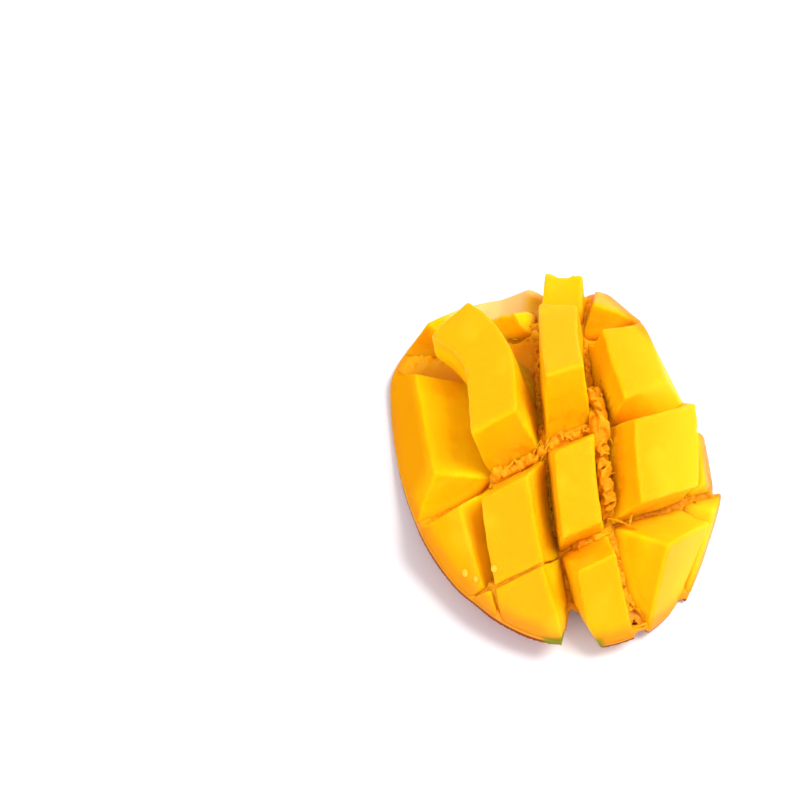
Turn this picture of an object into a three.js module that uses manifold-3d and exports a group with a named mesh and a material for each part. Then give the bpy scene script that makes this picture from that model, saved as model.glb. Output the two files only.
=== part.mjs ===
import * as THREE from 'three';
import { mergeVertices } from 'three/addons/utils/BufferGeometryUtils.js';
import Module from 'manifold-3d';

// Cubed half of a mango. One cheek of the fruit was scored to the skin in two directions and then
// turned inside out, so that its blocks of flesh stand apart on the arched skin.
// Millimetres, +Z up. The half lies on the edge of its skin, and the origin is under its middle.

// The cheek as it was sliced off beside the stone. The sliced face is the plane z = 0, flesh below.
const faceHalfWidth = 38.4;
const faceHalfLength = 56.6;
const fruitHalfDepth = 38;        // from the middle of the whole fruit out to its cheek
const stoneHalfDepth = 9.4;       // from the middle of the whole fruit to the sliced face
const farEndTaper = -0.11;        // the far end is narrower than the near end
const outlineTurn = 19;           // degrees between the fruit's length and the long cuts
const outlineCentre = { x: -2.9, y: -0.3 };

// Skin with the thin layer of flesh that the knife left on it.
const skinWeb = 2.2;
const blockFoot = 1.1;            // how far above the outside of the skin the rigid blocks end
const skinLip = 0.3;              // the cut edge of the skin is this much below the sliced face
const bendReach = 5;              // the skin bends within this distance of a cut
const sharpBend = 0.4;            // and within this distance of a notch in its edge

// Knife cuts. A column cut runs along y at x = at + slope y + bow (y / 50)^2, and its foot moves
// sideways by lean for each millimetre of depth. A row cut is the same with x and y exchanged.
const knifeHalfWidth = 0.3;
const bowLength = 50;
const columnCuts = [
  { at: -21.2, slope: -0.05, bow: 3.3, lean: 0.03 },
  { at: -6.2, slope: -0.04, bow: 6.3, lean: 0.07 },
  { at: 5.9, slope: -0.05, bow: 7.8, lean: 0.18 },
  { at: 30.4, slope: -0.07, bow: -6.3, lean: 0.08 },
];
const rowCuts = [
  { at: 30.4, slope: -0.1, bow: 2.7, lean: 0.23 },
  { at: -3.4, slope: 0.465, bow: -0.4, lean: 0.06 },
  { at: -30.1, slope: 0.45, bow: 0.7, lean: -0.15 },
];

// In this column a row cut was made at a place of its own.
const ownCut = { column: 3, row: 0, at: 24.6, slope: 0.19, bow: 0, lean: 0.23 };

// How each block has turned, in degrees about x, y and z: one line per column from left to right,
// and in it one entry per row from the far end to the near end. The two far blocks of the last
// column were sliced away with their skin, along a cut of its own, and the next was lowered.
const blockTurns = [
  [[-53, -63, -21], [-4, -66, 13], [33, -35, 2], [35, -21, 1]],
  [[-66, -32, -16], [-12, -17, 1], [32, -14, 1], [35, -17, 2]],
  [[-90, 8, -10], [-25, -1, 2], [21, 3, 0], [43, 14, 5]],
  [[-37, 21, -10], [-9, 20, 13], [8, 31, 0], [37, 57, -2]],
  [null, null, [-15, 58, -10], [32, 71, 4]],
];
const lastSlicedRow = 1;
const slicedFlank = { at: 22.5, lean: 0.3, overlap: 7, lowered: 3 };

// The foot of the block at that flank is stretched outward and to the near end, by these shares of
// the depth.
const stretchedBlock = { column: 3, row: 1, outward: 0.9, nearward: 0.9 };

// The far part of this block has sagged sideways round an arc, and is drawn out by this much.
const bentBlock = { column: 1, row: 1, from: 6, middle: -14, radius: 33, drawn: 1.2 };

// The far end of this block was cut off at a slant, along y = at + slope x.
const slantedBlock = { column: 0, row: 1, at: 9.6, slope: -0.7 };

// The flesh of this block above this depth stayed on the stone.
const lowBlock = { column: 1, row: 0, depth: 9 };

// Where the knife went on through the skin at the near ends of the column cuts, the edge gapes.
const edgeNotches = [
  { column: 1, length: 9, halfWidth: 3 },
  { column: 2, length: 5, halfWidth: 0.5 },
  { column: 3, length: 4, halfWidth: 0.6 },
];

// The half has rolled over by these degrees until it lies still, and the lowest spots of the skin's
// edge are pressed flat where it rests on them.
const restRoll = { x: 2.6, y: 2.7 };
const flatSpot = 1.3;

const lastColumn = columnCuts.length;
const lastRow = rowCuts.length;
const wellOutside = 90;

// How finely the curved faces are made.
const skinSectors = 52;
const skinSteps = 11;
const fleshSteps = 10;
const cutSegments = 5;
const mergedWithin = 1e-4;

const wasm = await Module();
wasm.setup();

function toSolid(geometry) {
  geometry.deleteAttribute('normal');
  geometry.deleteAttribute('uv');
  const merged = mergeVertices(geometry, mergedWithin);
  const index = merged.index.array;
  const kept = [];
  for (let i = 0; i < index.length; i += 3) {
    const [a, b, c] = index.slice(i, i + 3);
    if (a !== b && b !== c && c !== a) kept.push(a, b, c);
  }
  const vertProperties = new Float32Array(merged.attributes.position.array);
  const triVerts = new Uint32Array(kept);
  return new wasm.Manifold(new wasm.Mesh({ numProp: 3, vertProperties, triVerts }));
}

function toGeometry(solid) {
  const mesh = solid.getMesh();
  const geometry = new THREE.BufferGeometry();
  geometry.setAttribute('position', new THREE.BufferAttribute(mesh.vertProperties, mesh.numProp));
  geometry.setIndex(new THREE.BufferAttribute(mesh.triVerts, 1));
  return geometry;
}

function moveVertices(geometry, move) {
  const position = geometry.attributes.position;
  const point = new THREE.Vector3();
  for (let i = 0; i < position.count; i++) {
    point.fromBufferAttribute(position, i);
    move(point);
    position.setXYZ(i, point.x, point.y, point.z);
  }
  return geometry;
}

// The cheek before it is scored: half of an ellipsoid, sliced off level and tapered to the far end.

const sliceAngle = Math.acos(stoneHalfDepth / fruitHalfDepth);
const fruitHalfWidth = faceHalfWidth / Math.sin(sliceAngle);
const lengthPerWidth = faceHalfLength / faceHalfWidth;
const outlineAngle = THREE.MathUtils.degToRad(outlineTurn);

function taperAt(along) {
  return 1 + farEndTaper * THREE.MathUtils.clamp(along / faceHalfLength, -1, 1);
}

// Radius and height of the fruit's surface, set in by inset, from its lowest point up to z = top.
function skinArc(inset, top, steps) {
  const deep = fruitHalfDepth - inset;
  const lastAngle = Math.acos((stoneHalfDepth - top) / deep);
  const arc = [];
  for (let i = 0; i <= steps; i++) {
    const angle = (lastAngle * i) / steps;
    const radius = (fruitHalfWidth - inset) * Math.sin(angle);
    arc.push(new THREE.Vector2(radius, stoneHalfDepth - deep * Math.cos(angle)));
  }
  return arc;
}

// A closed profile turned about its axis, then given the fruit's length, taper and direction.
function turnedSolid(profile, sectors) {
  const geometry = new THREE.LatheGeometry(profile, sectors);
  geometry.rotateX(Math.PI / 2);
  moveVertices(geometry, (point) => {
    point.y *= lengthPerWidth;
    point.x *= taperAt(point.y);
  });
  geometry.rotateZ(outlineAngle);
  geometry.translate(outlineCentre.x, outlineCentre.y, 0);
  return toSolid(geometry);
}

// How deep the skin lies under a point of the sliced face.
function skinDepth(x, y) {
  const dx = x - outlineCentre.x;
  const dy = y - outlineCentre.y;
  const along = dy * Math.cos(outlineAngle) - dx * Math.sin(outlineAngle);
  const across = (dx * Math.cos(outlineAngle) + dy * Math.sin(outlineAngle)) / taperAt(along);
  const reach = (across ** 2 + (along / lengthPerWidth) ** 2) / fruitHalfWidth ** 2;
  return fruitHalfDepth * Math.sqrt(Math.max(1 - reach, 0)) - stoneHalfDepth;
}

// The knife cuts, and places well outside the fruit instead of a cut beyond the first and the last.

function cutPlace(cut, alongCut, depth) {
  return cut.at + cut.slope * alongCut + cut.bow * (alongCut / bowLength) ** 2 + cut.lean * depth;
}

function columnSide(number, y, depth) {
  if (number < 0) return -wellOutside;
  if (number >= lastColumn) return wellOutside;
  return cutPlace(columnCuts[number], y, depth);
}

function rowSide(number, x, depth, column) {
  if (number < 0) return wellOutside;
  if (number >= lastRow) return -wellOutside;
  const isOwn = column === ownCut.column && number === ownCut.row;
  return cutPlace(isOwn ? ownCut : rowCuts[number], x, depth);
}

// The four sides of a block. Beside a block that was sliced away it reaches out to the flank.
function sidesOf(column, row) {
  const atFlank = column < lastColumn && blockTurns[column + 1][row] === null;
  return {
    left: (y, depth) => columnSide(column - 1, y, depth),
    right: (y, depth) => columnSide(atFlank ? lastColumn : column, y, depth),
    near: (x, depth) => rowSide(row, x, depth, column),
    far: (x, depth) => rowSide(row - 1, x, depth, column),
  };
}

const closingPasses = 12;

// The point at shares u and v of the way between the sides, at a depth below the sliced face.
function pointBetween({ left, right, near, far }, u, v, depth) {
  const point = new THREE.Vector3(0, 0, -depth);
  for (let pass = 0; pass < closingPasses; pass++) {
    const { x, y } = point;
    point.x = THREE.MathUtils.lerp(left(y, depth), right(y, depth), u);
    point.y = THREE.MathUtils.lerp(near(x, depth), far(x, depth), v);
  }
  return point;
}

const aboveFace = -1;

// Everything between the sides, each set in by a margin, from the depth top to the depth bottom.
function solidBetween(sides, margin, top = aboveFace, bottom = fruitHalfDepth) {
  const geometry = new THREE.BoxGeometry(1, 1, 1, cutSegments, cutSegments, 1);
  const inset = {
    left: (y, depth) => sides.left(y, depth) + margin,
    right: (y, depth) => sides.right(y, depth) - margin,
    near: (x, depth) => sides.near(x, depth) + margin,
    far: (x, depth) => sides.far(x, depth) - margin,
  };
  moveVertices(geometry, (point) => {
    const depth = point.z > 0 ? top : bottom;
    point.copy(pointBetween(inset, point.x + 0.5, point.y + 0.5, depth));
  });
  return toSolid(geometry);
}

// Flesh and skin on the far right that were sliced away, with the far end and the top of the block
// next to them.
function slicedAway() {
  const { at, lean, overlap, lowered } = slicedFlank;
  const outside = { right: () => wellOutside, far: () => wellOutside };
  const flank = solidBetween({
    left: (y, depth) => at + lean * depth,
    near: (x, depth) => rowSide(lastSlicedRow, x, depth),
    ...outside,
  }, 0);
  const end = solidBetween({
    left: (y, depth) => columnSide(lastColumn - 1, y, depth),
    near: (x, depth) => rowSide(lastSlicedRow, x, depth) - overlap,
    ...outside,
  }, 0);
  const crest = solidBetween({
    left: (y, depth) => columnSide(lastColumn - 1, y, depth),
    near: (x, depth) => rowSide(lastSlicedRow + 1, x, depth),
    ...outside,
  }, 0, aboveFace, lowered);
  return flank.add(end).add(crest);
}

// Where a column cut leaves the outline at its near end.
function nearEndOf(column) {
  const step = 0.1;
  let y = 0;
  while (skinDepth(columnSide(column, y, 0), y) > 0) y -= step;
  return y;
}

for (const notch of edgeNotches) notch.end = nearEndOf(notch.column);

// Wedge that opens a notch, with its point inside the outline and its back outside.
function notchWedge({ column, length, halfWidth, end }) {
  const halfAt = (y) => (halfWidth * (end + length - y)) / length;
  return solidBetween({
    left: (y, depth) => columnSide(column, y, depth) - halfAt(y),
    right: (y, depth) => columnSide(column, y, depth) + halfAt(y),
    near: () => end - length,
    far: () => end + length - sharpBend,
  }, 0);
}

function missingSolid() {
  let missing = slicedAway();
  for (const notch of edgeNotches) missing = missing.add(notchWedge(notch));
  return missing;
}

// How the blocks and the skin moved when the cheek was turned inside out.

const cells = [];
blockTurns.forEach((turnsOfColumn, column) => {
  turnsOfColumn.forEach((degrees, row) => {
    if (degrees === null) return;
    const turn = new THREE.Vector3(...degrees).multiplyScalar(THREE.MathUtils.DEG2RAD);
    const spin = new THREE.Quaternion().setFromAxisAngle(turn.clone().normalize(), turn.length());
    const sides = sidesOf(column, row);
    cells.push({ column, row, sides, spin, shift: new THREE.Vector3(), hinges: [] });
  });
});

function isAt(cell, { column, row }) {
  return cell.column === column && cell.row === row;
}

function cellAt(column, row) {
  return cells.find((cell) => cell.column === column && cell.row === row);
}

// Middle of the skin line on the right or the near side of a block.
function hingeMiddle({ sides }, onRight) {
  const steps = 60;
  const middle = new THREE.Vector3();
  let count = 0;
  for (let i = 0; i <= steps; i++) {
    const u = onRight ? 1 : i / steps;
    const v = onRight ? i / steps : 0;
    const above = pointBetween(sides, u, v, 0);
    const depth = skinDepth(above.x, above.y);
    if (depth <= 0) continue;
    const foot = pointBetween(sides, u, v, depth);
    foot.z = -Math.max(skinDepth(foot.x, foot.y), 0);
    middle.add(foot);
    count++;
  }
  return middle.divideScalar(count);
}

function joinCells(cell, next, onRight) {
  if (next === undefined) return;
  const point = hingeMiddle(cell, onRight);
  cell.hinges.push({ next, point });
  next.hinges.push({ next: cell, point });
}

for (const cell of cells) {
  joinCells(cell, cellAt(cell.column + 1, cell.row), true);
  joinCells(cell, cellAt(cell.column, cell.row + 1), false);
}

// The turned blocks are shifted until the skin lines between them meet as well as they can.
const settlingSweeps = 400;
for (let sweep = 0; sweep < settlingSweeps; sweep++) {
  for (const cell of cells) {
    const wanted = new THREE.Vector3();
    for (const { next, point } of cell.hinges) {
      wanted.add(point.clone().applyQuaternion(next.spin)).add(next.shift);
      wanted.sub(point.clone().applyQuaternion(cell.spin));
    }
    cell.shift.copy(wanted.divideScalar(cell.hinges.length));
  }
}

function carried(cell, point) {
  return point.clone().applyQuaternion(cell.spin).add(cell.shift);
}

function sideWeight(distance, reach) {
  return THREE.MathUtils.smoothstep(distance, -reach, reach);
}

function bendReachAt(column, y) {
  const notch = edgeNotches.find((entry) => entry.column === column);
  if (notch === undefined) return bendReach;
  const apex = notch.end + notch.length;
  return sharpBend + (bendReach - sharpBend) * THREE.MathUtils.smoothstep(y, apex, apex + bendReach);
}

// The skin follows the blocks, and bends smoothly from one block to the next.
function moveSkin(point) {
  const { x, y } = point;
  const depth = -point.z;
  const moved = new THREE.Vector3();
  for (const cell of cells) {
    const { column, sides } = cell;
    const across = sideWeight(x - sides.left(y, depth), bendReachAt(column - 1, y))
      - sideWeight(x - sides.right(y, depth), bendReachAt(column, y));
    const along = sideWeight(y - sides.near(x, depth), bendReach)
      - sideWeight(y - sides.far(x, depth), bendReach);
    moved.addScaledVector(carried(cell, point), across * along);
  }
  point.copy(moved);
}

function bend(point) {
  const { from, middle, radius, drawn } = bentBlock;
  if (point.y <= from) return;
  const angle = (drawn * (point.y - from)) / radius;
  const outward = radius + point.x - middle;
  point.x = middle - radius + outward * Math.cos(angle);
  point.y = from + outward * Math.sin(angle);
}

function stretch(point) {
  const { column, row, outward, nearward } = stretchedBlock;
  const { left } = cellAt(column, row).sides;
  const depth = -point.z;
  const share = (point.x - left(point.y, depth)) / (slicedFlank.at - left(point.y, 0));
  point.x += outward * depth * share;
  point.y -= nearward * depth * share;
}

// The pieces and the whole.

const missing = missingSolid();

function fleshSolid() {
  const profile = skinArc(blockFoot, 0, fleshSteps);
  profile.push(new THREE.Vector2(0, 0));
  return turnedSolid(profile, skinSectors).subtract(missing);
}

function skinSolid() {
  const outside = skinArc(0, -skinLip, skinSteps);
  const inside = skinArc(skinWeb, -skinLip, skinSteps);
  const flat = turnedSolid([...outside, ...inside.reverse()], skinSectors).subtract(missing);
  return toSolid(moveVertices(toGeometry(flat), moveSkin));
}

function slantedSides({ sides }) {
  const { at, slope } = slantedBlock;
  return { ...sides, far: (x, depth) => Math.min(sides.far(x, depth), at + slope * x) };
}

function blockSolid(cell, flesh) {
  const sides = isAt(cell, slantedBlock) ? slantedSides(cell) : cell.sides;
  const top = isAt(cell, lowBlock) ? lowBlock.depth : undefined;
  const block = toGeometry(solidBetween(sides, knifeHalfWidth, top).intersect(flesh));
  moveVertices(block, (point) => {
    if (isAt(cell, bentBlock)) bend(point);
    if (isAt(cell, stretchedBlock)) stretch(point);
    point.copy(carried(cell, point));
  });
  return toSolid(block);
}

// The blocks on the skin as one solid. A pocket sealed in between them is filled.
function wholeSolid() {
  const flesh = fleshSolid();
  let whole = skinSolid();
  for (const cell of cells) whole = whole.add(blockSolid(cell, flesh));
  const shells = whole.decompose().sort((a, b) => b.volume() - a.volume());
  return shells[0];
}

// The whole is laid down as it rests, pressed flat there, and moved over the origin.
function laidDown(whole) {
  const rolled = whole.rotate([restRoll.x, restRoll.y, 0]);
  const geometry = toGeometry(rolled);
  geometry.computeBoundingBox();
  const floor = new THREE.BoxGeometry(4 * wellOutside, 4 * wellOutside, wellOutside);
  floor.translate(0, 0, geometry.boundingBox.min.z + flatSpot - wellOutside / 2);
  const resting = toGeometry(rolled.subtract(toSolid(floor)));
  resting.computeBoundingBox();
  const middle = resting.boundingBox.getCenter(new THREE.Vector3());
  resting.translate(-middle.x, -middle.y, -resting.boundingBox.min.z);
  return resting;
}

const faceted = laidDown(wholeSolid()).toNonIndexed();
faceted.computeVertexNormals();
const flesh = new THREE.MeshStandardMaterial({ color: 0xf7b51c, roughness: 0.4, metalness: 0 });
const mangoHalf = new THREE.Mesh(faceted, flesh);
mangoHalf.name = 'mango_half';

const object = new THREE.Group();
object.add(mangoHalf);
export default object;
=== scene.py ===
import math
import bpy
import numpy as np
from mathutils import Matrix, Vector


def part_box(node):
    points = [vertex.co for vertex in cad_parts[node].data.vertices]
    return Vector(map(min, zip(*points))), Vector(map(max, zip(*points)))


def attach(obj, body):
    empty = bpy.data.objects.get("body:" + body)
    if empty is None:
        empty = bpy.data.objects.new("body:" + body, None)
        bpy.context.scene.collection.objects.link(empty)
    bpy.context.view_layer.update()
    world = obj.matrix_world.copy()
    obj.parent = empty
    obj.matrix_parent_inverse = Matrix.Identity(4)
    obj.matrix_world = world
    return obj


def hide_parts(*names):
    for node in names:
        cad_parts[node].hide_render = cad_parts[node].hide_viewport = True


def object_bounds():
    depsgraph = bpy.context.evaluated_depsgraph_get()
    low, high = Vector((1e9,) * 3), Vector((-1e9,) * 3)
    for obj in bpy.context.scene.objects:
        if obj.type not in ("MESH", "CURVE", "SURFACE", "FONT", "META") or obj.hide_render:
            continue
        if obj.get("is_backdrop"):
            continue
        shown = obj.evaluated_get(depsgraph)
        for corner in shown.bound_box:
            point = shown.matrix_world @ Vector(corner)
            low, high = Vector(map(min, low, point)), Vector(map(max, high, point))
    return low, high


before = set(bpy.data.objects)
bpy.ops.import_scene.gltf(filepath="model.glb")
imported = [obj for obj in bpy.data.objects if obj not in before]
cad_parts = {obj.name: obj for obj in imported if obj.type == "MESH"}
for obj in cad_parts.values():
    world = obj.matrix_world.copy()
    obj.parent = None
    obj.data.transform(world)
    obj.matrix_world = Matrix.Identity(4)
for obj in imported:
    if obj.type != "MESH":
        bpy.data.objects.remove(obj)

cadLow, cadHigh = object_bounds()
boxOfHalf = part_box("mango_half")
print("frame loaded, the half is", [round((b - a) * 1000, 1) for a, b in zip(*boxOfHalf)], "mm")

# All shapes are worked out in millimetres, first on the flat cheek as it was scored (sliced face at
# z = 0, flesh below), and then moved the way the cheek was turned inside out.

cheek = {
    "faceHalfWidth": 38.4,
    "faceHalfLength": 56.6,
    "fruitHalfDepth": 38.0,
    "stoneHalfDepth": 9.4,
    "farEndTaper": -0.11,
    "outlineTurn": 19.0,          # degrees
    "outlineCentre": (-2.9, -0.3),
    "skinWeb": 2.2,               # skin with the flesh left on it
    "skinLip": 0.3,
    "bendReach": 5.0,
    "sharpBend": 0.4,
}

# x = at + slope y + bow (y / 50)^2 + lean depth, and the same with x and y exchanged for the rows
columnCuts = [
    {"at": -21.2, "slope": -0.05, "bow": 3.3, "lean": 0.03},
    {"at": -6.2, "slope": -0.04, "bow": 6.3, "lean": 0.07},
    {"at": 5.9, "slope": -0.05, "bow": 7.8, "lean": 0.18},
    {"at": 30.4, "slope": -0.07, "bow": -6.3, "lean": 0.08},
]
rowCuts = [
    {"at": 30.4, "slope": -0.1, "bow": 2.7, "lean": 0.23},
    {"at": -3.4, "slope": 0.465, "bow": -0.4, "lean": 0.06},
    {"at": -30.1, "slope": 0.45, "bow": 0.7, "lean": -0.15},
]
ownCut = {"column": 3, "row": 0, "at": 24.6, "slope": 0.19, "bow": 0.0, "lean": 0.23}

# rotation vectors in degrees, one line per column, far block first
blockTurns = [
    [(-53, -63, -21), (-4, -66, 13), (33, -35, 2), (35, -21, 1)],
    [(-66, -32, -16), (-12, -17, 1), (32, -14, 1), (35, -17, 2)],
    [(-90, 8, -10), (-25, -1, 2), (21, 3, 0), (43, 14, 5)],
    [(-37, 21, -10), (-9, 20, 13), (8, 31, 0), (37, 57, -2)],
    [None, None, (-15, 58, -10), (32, 71, 4)],
]
lastSlicedRow = 1
slicedFlank = {"at": 22.5, "lean": 0.3, "overlap": 7.0, "lowered": 3.0}
stretchedBlock = {"column": 3, "row": 1, "outward": 0.9, "nearward": 0.9}
bentBlock = {"column": 1, "row": 1, "from": 6.0, "middle": -14.0, "radius": 33.0, "drawn": 1.2}
slantedBlock = {"column": 0, "row": 1, "at": 9.6, "slope": -0.7}
lowBlock = {"column": 1, "row": 0, "depth": 9.0, "uneven": 0.8}
edgeNotches = {1: (9.0, 3.0), 2: (5.0, 0.5), 3: (4.0, 0.6)}    # column cut: (length, half width)
restRoll = (2.6, 2.7)                                         # degrees about x and y
flatSpot = 1.3                # how much of the lowest skin is pressed flat
outside = 90.0
lastColumn, lastRow = len(columnCuts), len(rowCuts)

fleshShape = {
    "step": 0.55,        # size of the net that the surfaces are made on
    "groove": 0.42,      # half the width of a knife cut
    "closedCut": (2, 1, 0.16),    # row cut, last column, half width: still closed there
    "rowLean": 1.14,     # slanted cuts: place across them over true distance
    "columnLean": 1.02,
    "foot": 1.2,         # how far above the outside of the skin a block ends
    "footRound": 0.5,
    "edgeRound": 0.9,
    "wave": 0.22,        # how uneven the knife left the sides
    "waveSizes": (7.0, 2.3),
    "topWave": 0.10,
    "topSizes": (9.0, 2.1),
    "tornTop": (2, 0),   # the block that was torn off the stone
    "tornHeight": 1.5,
    "tornSizes": ((2.0, 2.4, 2.4), 1.0),
    "raggedSize": (1.7, 1.2, 1.7),
    "raggedDepth": 1.1,
    "stringSizes": ((1.0, 1.0, 3.2), (0.6, 0.6, 1.6)),
    "rigidFrom": 6.0,    # a block is stiff from here up, and gives with the skin below
    "seed": 11,
}


def smoothStep(value, low, high):
    share = np.clip((value - low) / (high - low), 0.0, 1.0)
    return share * share * (3.0 - 2.0 * share)


def hashed(ix, iy, iz, seed):
    n = (ix * 73856093) ^ (iy * 19349663) ^ (iz * 83492791) ^ (seed * 668265263)
    n = ((n ^ (n >> 13)) * 1274126177) & 0xffffffff
    n = ((n ^ (n >> 16)) * 668265263) & 0xffffffff
    return (n & 0xffff) / 32767.5 - 1.0


def noise(x, y, z, size, seed):
    # smooth noise between -1 and 1; size may be one number or three
    sx, sy, sz = size if isinstance(size, tuple) else (size, size, size)
    fx, fy, fz = x / sx, y / sy, z / sz
    ix, iy, iz = (np.floor(f).astype(np.int64) for f in (fx, fy, fz))
    tx, ty, tz = fx - ix, fy - iy, fz - iz
    tx, ty, tz = (t * t * (3.0 - 2.0 * t) for t in (tx, ty, tz))
    total = 0.0
    for dx in (0, 1):
        for dy in (0, 1):
            for dz in (0, 1):
                weight = (tx if dx else 1 - tx) * (ty if dy else 1 - ty) * (tz if dz else 1 - tz)
                total = total + weight * hashed(ix + dx, iy + dy, iz + dz, seed)
    return total


# the fruit

fruitHalfWidth = cheek["faceHalfWidth"] / math.sin(
    math.acos(cheek["stoneHalfDepth"] / cheek["fruitHalfDepth"]))
lengthPerWidth = cheek["faceHalfLength"] / cheek["faceHalfWidth"]
outlineCos = math.cos(math.radians(cheek["outlineTurn"]))
outlineSin = math.sin(math.radians(cheek["outlineTurn"]))


def fruitPlace(x, y):
    dx, dy = x - cheek["outlineCentre"][0], y - cheek["outlineCentre"][1]
    along = dy * outlineCos - dx * outlineSin
    taper = 1 + cheek["farEndTaper"] * np.clip(along / cheek["faceHalfLength"], -1, 1)
    return (dx * outlineCos + dy * outlineSin) / taper, along


def skinDepth(x, y):
    across, along = fruitPlace(x, y)
    reach = (across ** 2 + (along / lengthPerWidth) ** 2) / fruitHalfWidth ** 2
    return cheek["fruitHalfDepth"] * np.sqrt(np.maximum(1 - reach, 0)) - cheek["stoneHalfDepth"]


def underSkin(x, y, z):
    # how far a point lies inside the outside of the skin
    across, along = fruitPlace(x, y)
    down = cheek["stoneHalfDepth"] - z
    a, b, c = fruitHalfWidth, fruitHalfWidth * lengthPerWidth, cheek["fruitHalfDepth"]
    k0 = np.sqrt((across / a) ** 2 + (along / b) ** 2 + (down / c) ** 2)
    k1 = np.sqrt((across / a ** 2) ** 2 + (along / b ** 2) ** 2 + (down / c ** 2) ** 2)
    return k0 * (1 - k0) / np.maximum(k1, 1e-9)


# the knife cuts

def cutPlace(cut, alongCut, depth):
    return cut["at"] + cut["slope"] * alongCut + cut["bow"] * (alongCut / 50) ** 2 + cut["lean"] * depth


def columnSide(number, y, depth):
    if number < 0:
        return -outside + 0 * y
    if number >= lastColumn:
        return outside + 0 * y
    return cutPlace(columnCuts[number], y, depth)


def rowSide(number, x, depth, column=0):
    if number < 0:
        return outside + 0 * x
    if number >= lastRow:
        return -outside + 0 * x
    isOwn = (column, number) == (ownCut["column"], ownCut["row"])
    return cutPlace(ownCut if isOwn else rowCuts[number], x, depth)


def sidesOf(column, row):
    atFlank = column < lastColumn and blockTurns[column + 1][row] is None
    rightCut = lastColumn if atFlank else column
    return {
        "left": lambda y, depth: columnSide(column - 1, y, depth),
        "right": lambda y, depth: columnSide(rightCut, y, depth),
        "near": lambda x, depth: rowSide(row, x, depth, column),
        "far": lambda x, depth: rowSide(row - 1, x, depth, column),
    }


def nearEndOf(column):
    y = 0.0
    while skinDepth(columnSide(column, y, 0.0), y) > 0:
        y -= 0.1
    return y


notchEnds = {column: nearEndOf(column) for column in edgeNotches}


def missingField(x, y, z):
    # below zero inside what was sliced away or gapes
    depth = -z
    flank = np.maximum(slicedFlank["at"] + slicedFlank["lean"] * depth - x,
                       rowSide(lastSlicedRow, x, depth) - y)
    pastLastCut = columnSide(lastColumn - 1, y, depth) - x
    end = np.maximum(pastLastCut, rowSide(lastSlicedRow, x, depth) - slicedFlank["overlap"] - y)
    crest = np.maximum(pastLastCut, rowSide(lastSlicedRow + 1, x, depth) - y)
    crest = np.maximum(crest, depth - slicedFlank["lowered"])
    field = np.minimum(np.minimum(flank, end), crest)
    for column, (length, halfWidth) in edgeNotches.items():
        halfAt = halfWidth * (notchEnds[column] + length - y) / length
        field = np.minimum(field, np.abs(x - columnSide(column, y, depth)) - halfAt)
    return field


# how each block moved

def turnMatrix(degrees):
    vector = np.radians(np.array(degrees, float))
    angle = np.linalg.norm(vector)
    x, y, z = vector / angle
    skew = np.array([[0, -z, y], [z, 0, -x], [-y, x, 0]])
    return np.eye(3) + math.sin(angle) * skew + (1 - math.cos(angle)) * skew @ skew


cells = []
for column, turns in enumerate(blockTurns):
    for row, degrees in enumerate(turns):
        if degrees is not None:
            cells.append({"column": column, "row": row, "sides": sidesOf(column, row),
                          "turn": turnMatrix(degrees), "shift": np.zeros(3), "hinges": []})


def cellAt(column, row):
    for cell in cells:
        if (cell["column"], cell["row"]) == (column, row):
            return cell
    return None


def pointBetween(sides, u, v, depth):
    x, y = 0.0, 0.0
    for _ in range(12):
        newX = sides["left"](y, depth) * (1 - u) + sides["right"](y, depth) * u
        y = sides["near"](x, depth) * (1 - v) + sides["far"](x, depth) * v
        x = newX
    return x, y


def hingeMiddle(cell, onRight):
    found = []
    for i in range(61):
        u, v = (1.0, i / 60) if onRight else (i / 60, 0.0)
        depth = float(skinDepth(*pointBetween(cell["sides"], u, v, 0.0)))
        if depth > 0:
            x, y = pointBetween(cell["sides"], u, v, depth)
            found.append((x, y, -max(float(skinDepth(x, y)), 0.0)))
    return np.mean(found, axis=0)


for cell in cells:
    for nextCell, onRight in ((cellAt(cell["column"] + 1, cell["row"]), True),
                              (cellAt(cell["column"], cell["row"] + 1), False)):
        if nextCell is not None:
            point = hingeMiddle(cell, onRight)
            cell["hinges"].append((nextCell, point))
            nextCell["hinges"].append((cell, point))

for _ in range(400):
    for cell in cells:
        wanted = [nextCell["turn"] @ point + nextCell["shift"] - cell["turn"] @ point
                  for nextCell, point in cell["hinges"]]
        cell["shift"] = np.mean(wanted, axis=0)


def carried(cell, points):
    return points @ cell["turn"].T + cell["shift"]


def bendReachAt(column, y):
    reach = np.full_like(y, cheek["bendReach"])
    if column in edgeNotches:
        apex = notchEnds[column] + edgeNotches[column][0]
        soft = smoothStep(y, apex, apex + cheek["bendReach"])
        reach = cheek["sharpBend"] + (cheek["bendReach"] - cheek["sharpBend"]) * soft
    return reach


def moveWithSkin(points):
    x, y, depth = points[:, 0], points[:, 1], -points[:, 2]
    moved = np.zeros_like(points)
    for cell in cells:
        sides, column = cell["sides"], cell["column"]
        reachLeft, reachRight = bendReachAt(column - 1, y), bendReachAt(column, y)
        reach = cheek["bendReach"]
        across = (smoothStep(x - sides["left"](y, depth), -reachLeft, reachLeft)
                  - smoothStep(x - sides["right"](y, depth), -reachRight, reachRight))
        along = (smoothStep(y - sides["near"](x, depth), -reach, reach)
                 - smoothStep(y - sides["far"](x, depth), -reach, reach))
        moved += carried(cell, points) * (across * along)[:, None]
    return moved


def bendBlock(points):
    start, middle, radius = bentBlock["from"], bentBlock["middle"], bentBlock["radius"]
    angle = np.maximum(points[:, 1] - start, 0) * bentBlock["drawn"] / radius
    outward = radius + points[:, 0] - middle
    bent = points.copy()
    past = angle > 0
    bent[past, 0] = (middle - radius + outward * np.cos(angle))[past]
    bent[past, 1] = (start + outward * np.sin(angle))[past]
    return bent


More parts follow.
